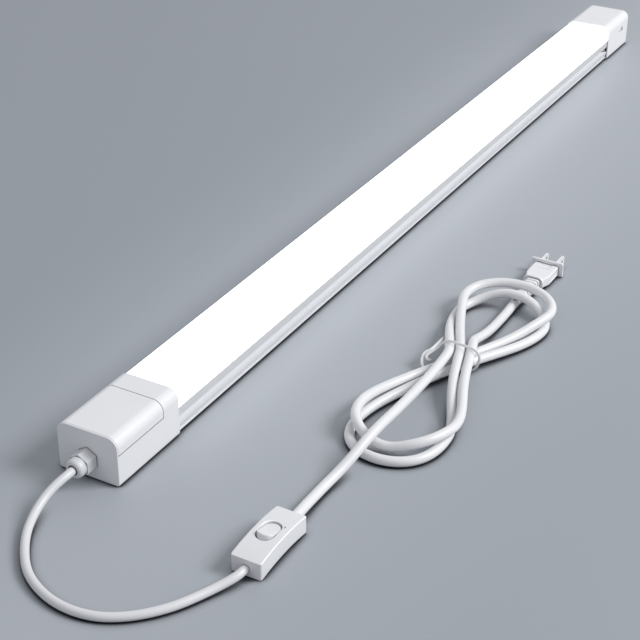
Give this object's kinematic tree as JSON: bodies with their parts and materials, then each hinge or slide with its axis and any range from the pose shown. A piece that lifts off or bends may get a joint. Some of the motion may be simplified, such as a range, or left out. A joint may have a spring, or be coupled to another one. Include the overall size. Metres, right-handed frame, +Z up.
{
  "type": "hanging shop light",
  "caption": "Slim linear shop light: opal diffuser snapped into an aluminium channel between white end caps, with a gland, an in-line rocker switch, a tied cord and a flat-blade plug.",
  "frame": {"origin": "middle of the light's footprint, gland included, on the surface that its back lies on; the free cord, switch and plug are left out of this box", "axes": "+Z up, from the back towards the diffuser; Y along the light, with the cord end at low Y; +X to the side where the cord lies"},
  "size_m": [0.2062, 1.0239, 0.0347],
  "materials": {
    "cap_plastic": "white moulded plastic, satin",
    "channel_aluminium": "satin silver-white extrusion",
    "diffuser_opal": "opal plastic, lit from inside",
    "light_board": "white solder mask",
    "light_chip": "phosphor-coated chip",
    "connector_plastic": "moulded connector",
    "circuit_board": "green solder mask",
    "sleeve_film": "thin insulating film",
    "ferrite": "ferrite and tape",
    "capacitor_sleeve": "shrunk plastic sleeve",
    "choke_core": "wound drum core",
    "chip_black": "moulded package",
    "seal_rubber": "soft seal",
    "screw_steel": "plated steel",
    "contact_brass": "bright brass",
    "blade_metal": "bright plated blade",
    "block_plastic": "ivory moulded block",
    "lead_dark": "insulated wire",
    "lead_red": "insulated wire",
    "cord_jacket": "white cord jacket, satin",
    "tie_coat": "plastic-coated wire",
    "switch_plastic": "white moulded plastic",
    "plug_plastic": "white moulded plastic"
  },
  "bodies": {
    "light": {"housing_channel": "channel_aluminium", "diffuser": "diffuser_opal", "led_board": "light_board", "led_chips": "light_chip", "board_connector": "connector_plastic", "driver_sleeve": "sleeve_film", "driver_board": "circuit_board", "driver_transformer": "ferrite", "driver_capacitors": "capacitor_sleeve", "driver_choke": "choke_core", "driver_chips": "chip_black", "near_end_cap": "cap_plastic", "near_gasket": "seal_rubber", "near_cap_screws": "screw_steel", "far_end_cap": "cap_plastic", "far_gasket": "seal_rubber", "far_cap_screws": "screw_steel", "terminal_block": "block_plastic", "terminal_sleeves": "contact_brass", "terminal_screws": "screw_steel", "supply_leads": "lead_dark", "driver_leads": "lead_dark", "output_leads": "lead_red", "gland_body": "cap_plastic", "gland_seal": "seal_rubber", "gland_dome_nut": "cap_plastic", "gland_washer": "screw_steel", "gland_locknut": "screw_steel", "cord_inlet": "cord_jacket", "cord_to_switch": "cord_jacket", "switch_housing": "switch_plastic", "switch_base": "switch_plastic", "switch_contacts": "contact_brass", "switch_screws": "screw_steel", "cord_to_hank": "cord_jacket", "cord_hank": "cord_jacket", "cord_to_plug": "cord_jacket", "cord_tie": "tie_coat", "plug_body": "plug_plastic", "plug_face": "plug_plastic", "plug_live_blade": "blade_metal", "plug_neutral_blade": "blade_metal"},
    "rocker": {"switch_rocker": "switch_plastic", "switch_bridge": "contact_brass"},
    "cover": {"wiring_cover": "cap_plastic"}
  },
  "joints": [
    {"name": "switch_rock", "type": "hinge", "parent": "light", "child": "rocker", "pos_m": [0.134, -0.45495, 0.0111], "axis": [1, 0, 0], "range_deg": [0, 20]},
    {"name": "wiring_cover_lift", "type": "slide", "parent": "light", "child": "cover", "axis": [0, 0, 1], "range_m": [0, 0.03]}
  ]
}
